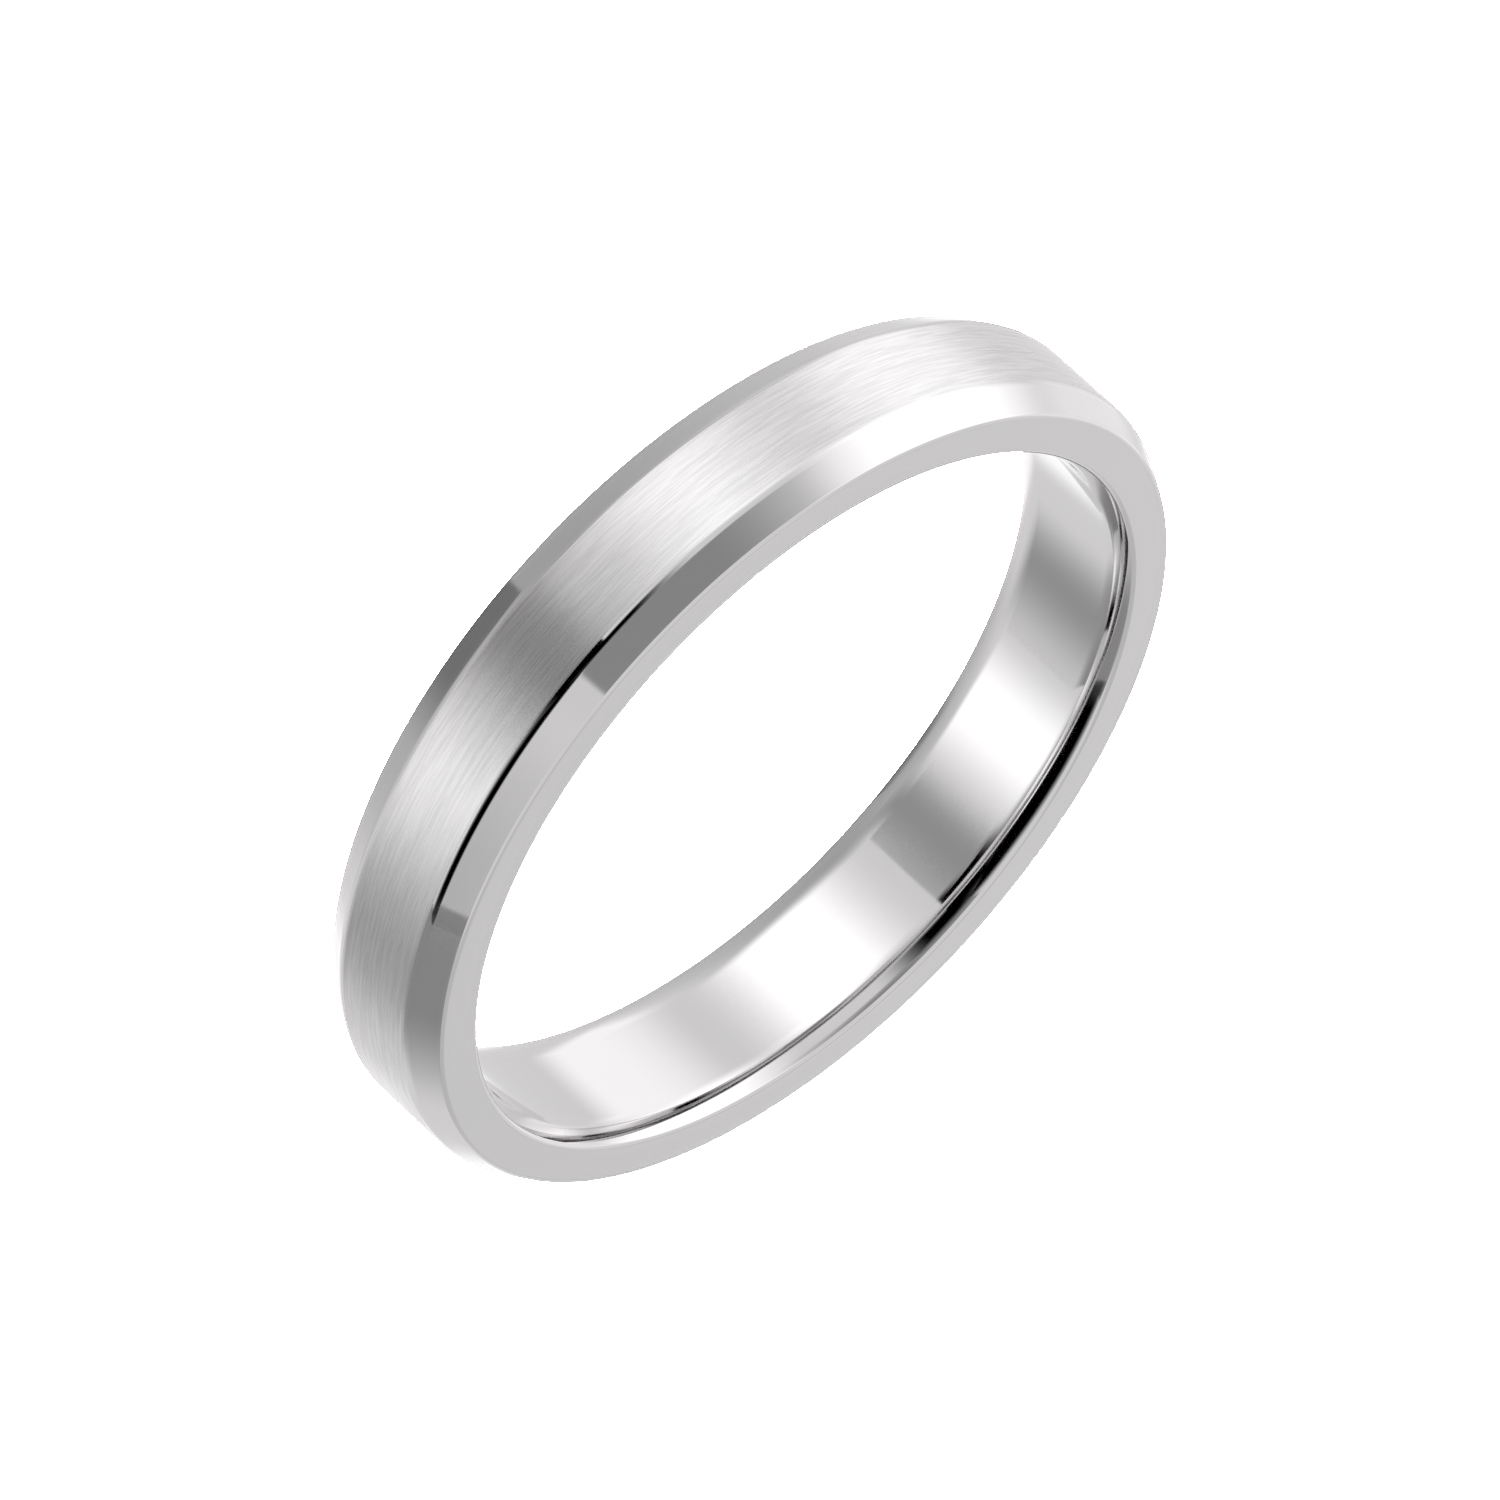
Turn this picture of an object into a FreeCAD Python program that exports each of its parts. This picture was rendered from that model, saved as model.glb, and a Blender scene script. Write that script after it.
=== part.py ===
import FreeCAD, Part
import math
import os

# A wedding band, made as the real one is: a single piece of metal turned all round to one section.
# A flat satin crown lies between two polished bevels. The side faces are flat, and the bore has a
# cylindrical land in its middle that opens towards each side face in a comfort-fit curve.
#
# Millimetres and degrees. The band stands on its rim with +Z up, the finger axis is Y, and the
# origin is the centre of the bore.

# Driving dimensions
BORE_DIAMETER = 20.37       # inside diameter at the land, US ring size 10 3/4
WALL = 1.75                 # land to crown
BAND_WIDTH = 4.0            # side face to side face
CROWN_WIDTH = 2.38          # between the corners of crown and bevel, before they are rounded
BEVEL_ANGLE = 28.5          # how far a bevel turns down from the crown
CROWN_EDGE_RADIUS = 0.55    # soft edge between the crown and a bevel
RIM_EDGE_RADIUS = 0.13      # edge between a bevel and its side face
LAND_WIDTH = 2.4            # length of the land along the finger
COMFORT_RADIUS = 1.6        # curve from the land out to a side face
FINGER_EDGE_RADIUS = 0.15   # edge between a side face and its comfort-fit curve

# Worked out from them
LAND_RADIUS = BORE_DIAMETER / 2
CROWN_RADIUS = LAND_RADIUS + WALL
SIDE = BAND_WIDTH / 2
BEVEL_SPAN = (BAND_WIDTH - CROWN_WIDTH) / 2
SQUARE_TURN = 90.0
HALF_TURN = 180.0
FULL_TURN = 360.0
TOUCHING = 1e-6             # points nearer than this are one point


def round_at(centre_radius, centre_along, size, start, end):
    """One round of the section: its centre, its size, and the directions in which it faces at its two
    ends. A direction of 0 faces away from the finger axis, and 90 faces along it."""
    return {"centre": (centre_radius, centre_along), "size": size, "start": start, "end": end}


def point_on(turned, direction):
    """The point of a round that faces a direction. X is the distance from the finger axis."""
    angle = math.radians(direction)
    radius, along = turned["centre"]
    return FreeCAD.Vector(
        radius + turned["size"] * math.cos(angle), along + turned["size"] * math.sin(angle), 0
    )


def crown_edge():
    """The soft edge where the crown turns down into the bevel."""
    back = CROWN_EDGE_RADIUS * math.tan(math.radians(BEVEL_ANGLE / 2))
    centre_along = CROWN_WIDTH / 2 - back
    return round_at(CROWN_RADIUS - CROWN_EDGE_RADIUS, centre_along, CROWN_EDGE_RADIUS, 0, BEVEL_ANGLE)


def rim_edge():
    """The edge where the bevel meets the side face."""
    corner_radius = CROWN_RADIUS - BEVEL_SPAN * math.tan(math.radians(BEVEL_ANGLE))
    back = RIM_EDGE_RADIUS * math.tan(math.radians(SQUARE_TURN - BEVEL_ANGLE) / 2)
    return round_at(
        corner_radius - back, SIDE - RIM_EDGE_RADIUS, RIM_EDGE_RADIUS, BEVEL_ANGLE, SQUARE_TURN
    )


def finger_rounds():
    """The edge where the side face turns into the bore, and the comfort-fit curve from there to the
    land. The edge lies inside the curve and touches it, so the surface runs on without a crease."""
    curve_radius = LAND_RADIUS + COMFORT_RADIUS
    curve_along = LAND_WIDTH / 2
    reach = COMFORT_RADIUS - FINGER_EDGE_RADIUS
    edge_along = SIDE - FINGER_EDGE_RADIUS
    opening = math.asin((edge_along - curve_along) / reach)
    edge_radius = curve_radius - reach * math.cos(opening)
    meeting = HALF_TURN - math.degrees(opening)
    return [
        round_at(edge_radius, edge_along, FINGER_EDGE_RADIUS, SQUARE_TURN, meeting),
        round_at(curve_radius, curve_along, COMFORT_RADIUS, meeting, HALF_TURN),
    ]


def mirrored(turned):
    """The same round on the other side of the band's middle."""
    radius, along = turned["centre"]
    return round_at(
        radius, -along, turned["size"], FULL_TURN - turned["end"], FULL_TURN - turned["start"]
    )


def section():
    """The band's section beside the finger axis, as one closed face. It is convex, so its rounds follow
    each other in the order of the directions that they face, and straight runs join them."""
    near_half = [crown_edge(), rim_edge()] + finger_rounds()
    rounds = near_half + [mirrored(turned) for turned in reversed(near_half)]
    edges = []
    for turned, following in zip(rounds, rounds[1:] + rounds[:1]):
        start, end = point_on(turned, turned["start"]), point_on(turned, turned["end"])
        middle = point_on(turned, (turned["start"] + turned["end"]) / 2)
        edges.append(Part.Arc(start, middle, end).toShape())
        onward = point_on(following, following["start"])
        if not end.isEqual(onward, TOUCHING):
            edges.append(Part.LineSegment(end, onward).toShape())
    return Part.Face(Part.Wire(edges))


def band():
    """The whole ring: its section turned once about the finger axis."""
    return section().revolve(FreeCAD.Vector(0, 0, 0), FreeCAD.Vector(0, 1, 0), FULL_TURN)


os.makedirs("parts", exist_ok=True)
ring = band()
ring.exportStep("parts/band.step")
print("band: closed", ring.isClosed(), "valid", ring.isValid(), "volume mm3", round(ring.Volume, 2))
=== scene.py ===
import bpy
import math
from mathutils import Matrix, Vector


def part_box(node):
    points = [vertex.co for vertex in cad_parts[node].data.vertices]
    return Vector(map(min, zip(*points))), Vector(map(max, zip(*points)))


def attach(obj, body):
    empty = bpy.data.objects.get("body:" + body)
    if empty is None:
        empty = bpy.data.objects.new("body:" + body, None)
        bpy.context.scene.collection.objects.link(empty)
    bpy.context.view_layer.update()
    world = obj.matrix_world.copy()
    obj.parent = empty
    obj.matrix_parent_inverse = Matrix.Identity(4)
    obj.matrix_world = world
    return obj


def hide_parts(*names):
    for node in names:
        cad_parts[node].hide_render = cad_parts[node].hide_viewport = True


# A wedding band of white gold: satin-brushed crown, mirror-polished bevels, side faces and bore.
# Metres. The band stands on its rim with +Z up, and the finger axis is Y.

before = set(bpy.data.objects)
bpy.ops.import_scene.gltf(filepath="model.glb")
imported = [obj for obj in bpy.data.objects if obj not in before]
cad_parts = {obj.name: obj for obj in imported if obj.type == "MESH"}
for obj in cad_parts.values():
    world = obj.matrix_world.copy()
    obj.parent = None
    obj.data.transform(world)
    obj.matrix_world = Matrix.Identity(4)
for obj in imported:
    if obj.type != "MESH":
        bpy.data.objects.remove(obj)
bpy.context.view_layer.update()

MM = 0.001
DEGREE = math.pi / 180

# ---------------------------------------------------------------- the band's section

LOW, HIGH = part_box("band")

# The outside comes from the frame, and these are the CAD model's own driving dimensions.
CROWN_RADIUS = HIGH.x
SIDE = HIGH.y
WALL = 1.75 * MM
CROWN_WIDTH = 2.38 * MM
BEVEL_ANGLE = 28.5 * DEGREE
CROWN_EDGE_RADIUS = 0.55 * MM
RIM_EDGE_RADIUS = 0.13 * MM
LAND_WIDTH = 2.4 * MM
COMFORT_RADIUS = 1.6 * MM
FINGER_EDGE_RADIUS = 0.15 * MM

LAND_RADIUS = CROWN_RADIUS - WALL
SQUARE_TURN = math.pi / 2
HALF_TURN = math.pi
FULL_TURN = 2 * math.pi

STEPS_ROUND = 640           # steps of the lathe about the finger axis
STEP_ON_ROUND = 4 * DEGREE  # longest step in direction along a round of the section
STEP_ON_RUN = 0.25 * MM     # longest step in length along a round or a straight run
TOUCHING = 1e-8
SATIN_TURN = 9 * DEGREE     # the satin goes this far round the crown's edges


def section_rounds():
    """The rounds of the section from the crown to the bore on the +Y half, as (centre's distance from
    the axis, centre along the axis, size, first direction, last direction). 0 faces off the axis."""
    back = CROWN_EDGE_RADIUS * math.tan(BEVEL_ANGLE / 2)
    centre = (CROWN_RADIUS - CROWN_EDGE_RADIUS, CROWN_WIDTH / 2 - back)
    crown_edge = (*centre, CROWN_EDGE_RADIUS, 0, BEVEL_ANGLE)

    corner = CROWN_RADIUS - (SIDE - CROWN_WIDTH / 2) * math.tan(BEVEL_ANGLE)
    back = RIM_EDGE_RADIUS * math.tan((SQUARE_TURN - BEVEL_ANGLE) / 2)
    rim_edge = (corner - back, SIDE - RIM_EDGE_RADIUS, RIM_EDGE_RADIUS, BEVEL_ANGLE, SQUARE_TURN)

    curve_radius, curve_along = LAND_RADIUS + COMFORT_RADIUS, LAND_WIDTH / 2
    reach, edge_along = COMFORT_RADIUS - FINGER_EDGE_RADIUS, SIDE - FINGER_EDGE_RADIUS
    opening = math.asin((edge_along - curve_along) / reach)
    edge_radius = curve_radius - reach * math.cos(opening)
    finger_edge = (edge_radius, edge_along, FINGER_EDGE_RADIUS, SQUARE_TURN, HALF_TURN - opening)
    comfort = (curve_radius, curve_along, COMFORT_RADIUS, HALF_TURN - opening, HALF_TURN)
    return [crown_edge, rim_edge, finger_edge, comfort]


def mirrored(turned):
    """The same round on the -Y half."""
    radius, along, size, start, end = turned
    return (radius, -along, size, FULL_TURN - end, FULL_TURN - start)


def point_on(turned, direction):
    """A point of the section, as (distance from the axis, place along the axis, direction it faces)."""
    radius, along, size = turned[:3]
    return (radius + size * math.cos(direction), along + size * math.sin(direction), direction)


def section_points():
    """The whole closed section, with a point at the ends of each round and evenly between."""
    half = section_rounds()
    rounds = half + [mirrored(turned) for turned in reversed(half)]
    points = []
    for turned, following in zip(rounds, rounds[1:] + rounds[:1]):
        size, start, end = turned[2:]
        steps = math.ceil(max((end - start) / STEP_ON_ROUND, size * (end - start) / STEP_ON_RUN))
        points += [point_on(turned, start + (end - start) * k / steps) for k in range(steps + 1)]
        here, there = points[-1], point_on(following, following[3])
        length = math.hypot(there[0] - here[0], there[1] - here[1])
        if length < TOUCHING:
            points.pop()
            continue
        steps = math.ceil(length / STEP_ON_RUN)
        for k in range(1, steps):
            share = k / steps
            radius, along = (here[i] + (there[i] - here[i]) * share for i in range(2))
            points.append((radius, along, here[2]))
    return points


def in_satin(point):
    """Whether the crown's finish covers a point of the section: on the outside, facing off the axis."""
    radius, _, direction = point
    return radius > LAND_RADIUS + WALL / 2 and abs(math.sin(direction)) < math.sin(SATIN_TURN)


def lathe(name, points):
    """A closed mesh turned from the section, with each corner's exact normal, so that a mirror finish
    shows no facets. Material 0 is the crown and material 1 is the rest."""
    verts, normals, faces, finishes = [], [], [], []
    for step in range(STEPS_ROUND):
        angle = FULL_TURN * step / STEPS_ROUND
        outward = Vector((math.cos(angle), 0, math.sin(angle)))
        for radius, along, direction in points:
            verts.append(outward * radius + Vector((0, along, 0)))
            normals.append(outward * math.cos(direction) + Vector((0, math.sin(direction), 0)))
    count = len(points)
    for step in range(STEPS_ROUND):
        here, there = step * count, (step + 1) % STEPS_ROUND * count
        for k in range(count):
            following = (k + 1) % count
            faces.append((here + k, here + following, there + following, there + k))
            on_crown = in_satin(points[k]) and in_satin(points[following])
            finishes.append(0 if on_crown else 1)
    mesh = bpy.data.meshes.new(name)
    mesh.from_pydata(verts, [], faces)
    mesh.update()
    mesh.polygons.foreach_set("material_index", finishes)
    mesh.polygons.foreach_set("use_smooth", [True] * len(faces))
    mesh.normals_split_custom_set_from_vertices(normals)
    piece = bpy.data.objects.new(name, mesh)
    bpy.context.scene.collection.objects.link(piece)
    return piece


# ---------------------------------------------------------------- the metal

WHITE_GOLD = (0.751, 0.740, 0.745, 1)
HAIRLINE_DEPTH = 0.003 * MM
BUFFING_DEPTH = 0.004 * MM


class Nodes:
    """A short way to write node materials."""

    def __init__(self, material):
        material.use_nodes = True
        self.tree = material.node_tree
        self.tree.nodes.clear()

    def add(self, kind, inputs=None, **settings):
        node = self.tree.nodes.new(kind)
        for key, value in settings.items():
            setattr(node, key, value)
        for key, value in (inputs or {}).items():
            if isinstance(value, bpy.types.NodeSocket):
                self.tree.links.new(value, node.inputs[key])
            else:
                node.inputs[key].default_value = value
        return node

    def math(self, operation, first, second=0.0):
        return self.add("ShaderNodeMath", {0: first, 1: second}, operation=operation).outputs[0]

    def remap(self, value, low, high, to_low, to_high):
        inputs = {"Value": value, "From Min": low, "From Max": high, "To Min": to_low, "To Max": to_high}
        return self.add("ShaderNodeMapRange", inputs).outputs["Result"]

    def fade(self, value, start, end):
        """0 at the start and 1 from the end on, with a smooth step between."""
        inputs = {"Value": value, "From Min": start, "From Max": end}
        step = self.add("ShaderNodeMapRange", inputs, interpolation_type="SMOOTHSTEP", clamp=True)
        return step.outputs["Result"]

    def finish(self, shader):
        output = self.add("ShaderNodeOutputMaterial")
        self.tree.links.new(shader.outputs[0], output.inputs["Surface"])

    def noise(self, stretch, scale, detail=2.0, roughness=0.5):
        """Noise over the object, stretched: a stretch of (x, y, z) packs it that many times closer."""
        place = self.add("ShaderNodeTexCoord").outputs["Object"]
        packed = self.add("ShaderNodeMapping", {"Vector": place, "Scale": stretch}).outputs["Vector"]
        inputs = {"Vector": packed, "Scale": scale, "Detail": detail, "Roughness": roughness}
        return self.add("ShaderNodeTexNoise", inputs).outputs["Fac"]


def satin():
    """The crown's finish: hairlines along the band, laid by an abrasive belt. They spread a reflection
    across the band and hardly along it."""
    material = bpy.data.materials.new("satin_white_gold")
    nodes = Nodes(material)
    fine = nodes.noise(stretch=(1, 20, 1), scale=800, detail=2, roughness=0.6)
    broad = nodes.noise(stretch=(1, 18, 1), scale=250)
    height = nodes.math("ADD", nodes.math("MULTIPLY", broad, 1.2), fine)
    relief = {"Height": height, "Strength": 0.3, "Distance": HAIRLINE_DEPTH}
    bump = nodes.add("ShaderNodeBump", relief)
    tangent = nodes.add("ShaderNodeTangent", direction_type="RADIAL", axis="Y")
    tone = nodes.remap(fine, 0.35, 0.65, 0.94, 1.08)
    colour = nodes.add("ShaderNodeVectorMath", {0: WHITE_GOLD[:3], "Scale": tone}, operation="SCALE")
    patches = nodes.noise(stretch=(1, 4, 1), scale=180)
    inputs = {
        "Base Color": colour.outputs["Vector"],
        "Metallic": 1.0,
        "Roughness": nodes.remap(patches, 0.3, 0.7, 0.27, 0.33),
        "Anisotropic": 0.78,
        "Anisotropic Rotation": 0.25,
        "Normal": bump.outputs["Normal"],
        "Tangent": tangent.outputs["Tangent"],
    }
    nodes.finish(nodes.add("ShaderNodeBsdfPrincipled", inputs))
    return material


def polished():
    """The mirror finish: a slow waviness from the buffing wheel and faint wiping marks."""
    material = bpy.data.materials.new("polished_white_gold")
    nodes = Nodes(material)
    wave = nodes.noise(stretch=(1, 1, 1), scale=350, detail=1, roughness=0.4)
    relief = {"Height": wave, "Strength": 1.0, "Distance": BUFFING_DEPTH}
    bump = nodes.add("ShaderNodeBump", relief)
    marks = nodes.noise(stretch=(1, 3, 1), scale=900, detail=3, roughness=0.6)
    inputs = {
        "Base Color": WHITE_GOLD,
        "Metallic": 1.0,
        "Roughness": nodes.remap(marks, 0.35, 0.75, 0.04, 0.08),
        "Normal": bump.outputs["Normal"],
    }
    nodes.finish(nodes.add("ShaderNodeBsdfPrincipled", inputs))
    return material


ring = lathe("band_finish", section_points())
ring.data.materials.append(satin())
ring.data.materials.append(polished())
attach(ring, "root")
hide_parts("band")

# ---------------------------------------------------------------- the studio

WORLD_LEVEL = 0.79
FLOOR_SIZE = 6.0
LAMP_SIZE = 3.0
LAMP_HEIGHT = 0.8
LAMP_WATTS = 2000.0
WHITE = (1, 1, 1, 1)
PALE = (0.9, 0.9, 0.9, 1)


def toward(azimuth, elevation):
    """The direction at this azimuth, 0 in front (-Y) and 90 at the right (+X), and this elevation."""
    az, el = azimuth * DEGREE, elevation * DEGREE
    return Vector((math.sin(az) * math.cos(el), -math.cos(az) * math.cos(el), math.sin(el)))


def sheet(name, corners, material):
    """A flat rectangle of the studio."""
    mesh = bpy.data.meshes.new(name)
    mesh.from_pydata(corners, [], [(0, 1, 2, 3)])
    uv = mesh.uv_layers.new(name="UVMap")
    for corner, spot in enumerate([(0, 0), (1, 0), (1, 1), (0, 1)]):
        uv.data[corner].uv = spot
    mesh.materials.append(material)
    piece = bpy.data.objects.new(name, mesh)
    bpy.context.scene.collection.objects.link(piece)
    return piece


def card_material(name, level, softness):
    """A card of one brightness that fades out over its borders. softness is the faded share of each
    half: at both sides, at the bottom, and at the top."""
    material = bpy.data.materials.new(name)
    nodes = Nodes(material)
    place = nodes.add("ShaderNodeTexCoord").outputs["UV"]
    spot = nodes.add("ShaderNodeSeparateXYZ", {"Vector": place})
    sides, bottom, top = (share / 2 for share in softness)
    fade = nodes.fade(spot.outputs["X"], 0, sides)
    fade = nodes.math("MULTIPLY", fade, nodes.fade(spot.outputs["X"], 1, 1 - sides))
    fade = nodes.math("MULTIPLY", fade, nodes.fade(spot.outputs["Y"], 0, bottom))
    fade = nodes.math("MULTIPLY", fade, nodes.fade(spot.outputs["Y"], 1, 1 - top))
    light = nodes.add("ShaderNodeEmission", {"Color": WHITE, "Strength": level})
    clear = nodes.add("ShaderNodeBsdfTransparent")
    mix = nodes.add("ShaderNodeMixShader", {0: fade, 1: clear.outputs[0], 2: light.outputs[0]})
    nodes.finish(mix)
    return material


def card(name, azimuth, elevation, wide, tall, level, softness, roll, distance):
    """A studio card or softbox that faces the band. Its width and height are angles, seen from the
    band, in degrees. Only reflections see it, so that it stands in no other camera's way."""
    across = distance * math.tan(wide / 2 * DEGREE)
    up = distance * math.tan(tall / 2 * DEGREE)
    corners = [(-across, -up, 0), (across, -up, 0), (across, up, 0), (-across, up, 0)]
    piece = sheet(name, corners, card_material(name, level, softness))
    direction = toward(azimuth, elevation)
    facing = direction.to_track_quat("Z", "Y").to_matrix().to_4x4()
    turned = Matrix.Rotation(roll * DEGREE, 4, "Z")
    piece.matrix_world = Matrix.Translation(direction * distance) @ facing @ turned
    piece.visible_camera = False
    piece.visible_diffuse = False
    piece.visible_shadow = False
    piece.visible_transmission = False


# Each card stands where a reflection in the band points: its name, azimuth, elevation, width, height,
# level, softness of the sides, bottom and top, and roll. Further cards come first, and a nearer one
# covers them.
CRISP, SOFT, FADED = 0.05, 0.6, 1.0
CARDS = [
    ("back_wall", -175, 10, 100, 100, 0.45, (FADED, SOFT, SOFT), -15),
    ("back_patch", -165, -5, 40, 25, 0.2, (FADED, FADED, CRISP), 45),
    ("right_softbox", 75, 25, 90, 80, 1.7, (SOFT, FADED, FADED), 25),
    ("right_glow", 80, -25, 70, 50, 1.0, (SOFT, SOFT, SOFT), 0),
    ("back_floor", 150, -55, 55, 45, 1.15, (SOFT, SOFT, SOFT), -30),
    ("front_floor", -25, -50, 90, 70, 0.6, (SOFT, SOFT, SOFT), 10),
    ("back_right_softbox", 120, 15, 40, 50, 1.2, (SOFT, SOFT, FADED), 10),
    ("top_back_softbox", 165, 65, 60, 50, 1.7, (FADED, FADED, FADED), -20),
    ("back_left_softbox", -115, 10, 40, 45, 1.5, (SOFT, FADED, FADED), 15),
    ("left_low_haze", -120, -35, 45, 45, 0.35, (FADED, FADED, FADED), 0),
    ("left_low_grey", -90, -40, 65, 55, 0.3, (SOFT, FADED, CRISP), 0),
    ("left_high_grey", -110, 45, 90, 25, 0.35, (SOFT, FADED, FADED), 15),
    ("left_flag_back", -90, 15, 40, 85, 0.15, (FADED, SOFT, CRISP), 5),
    ("left_flag_wing", -95, 45, 60, 30, 0.0, (SOFT, FADED, CRISP), 5),
    ("left_flag", -80, 15, 35, 90, 0.0, (SOFT, SOFT, CRISP), -10),
    ("left_flag_top", -60, 65, 30, 40, 0.0, (SOFT, SOFT, FADED), -30),
    ("camera_stand", 0, 60, 25, 70, 0.3, (SOFT, FADED, CRISP), 90),
]
FURTHEST_CARD = 0.60
CARD_SPACING = 0.008

for order, settings in enumerate(CARDS):
    card(*settings, FURTHEST_CARD - CARD_SPACING * order)


def floor():
    """A plain pale floor under the band's rim. The metal mirrors the surroundings and not the floor."""
    material = bpy.data.materials.new("floor")
    nodes = Nodes(material)
    inputs = {"Base Color": PALE, "Roughness": 0.9, "Specular IOR Level": 0.0}
    nodes.finish(nodes.add("ShaderNodeBsdfPrincipled", inputs))
    half = FLOOR_SIZE / 2
    corners = [(-half, -half, LOW.z), (half, -half, LOW.z), (half, half, LOW.z), (-half, half, LOW.z)]
    sheet("floor", corners, material).visible_glossy = False


floor()

world = bpy.data.worlds.new("studio")
world.use_nodes = True
background = world.node_tree.nodes["Background"]
background.inputs["Color"].default_value = WHITE
background.inputs["Strength"].default_value = WORLD_LEVEL
bpy.context.scene.world = world

# A broad light overhead brightens the floor to white. The metal doesn't mirror it.
overhead = bpy.data.lights.new("overhead", "AREA")
overhead.shape = "DISK"
overhead.size = LAMP_SIZE
overhead.energy = LAMP_WATTS
lamp = bpy.data.objects.new("overhead", overhead)
lamp.location = (0.0, 0.0, LAMP_HEIGHT)
lamp.visible_glossy = False
bpy.context.scene.collection.objects.link(lamp)

# ---------------------------------------------------------------- the camera

CAMERA_DISTANCE = 386.85 * MM
CAMERA_AZIMUTH = -41.05
CAMERA_ELEVATION = 53.09
LENS = 388.3                # millimetres, as Blender takes it
SENSOR_WIDTH = 36.0
NEAREST_SEEN = 0.01
AIM = Vector((-0.036, 0.100, 0.039)) * MM

lens = bpy.data.cameras.new("camera")
lens.lens = LENS
lens.sensor_width = SENSOR_WIDTH
lens.clip_start = NEAREST_SEEN
camera = bpy.data.objects.new("camera", lens)
camera.location = toward(CAMERA_AZIMUTH, CAMERA_ELEVATION) * CAMERA_DISTANCE
camera.rotation_euler = (AIM - camera.location).to_track_quat("-Z", "Y").to_euler()
bpy.context.scene.collection.objects.link(camera)
bpy.context.scene.camera = camera
bpy.context.scene.view_settings.view_transform = "Standard"
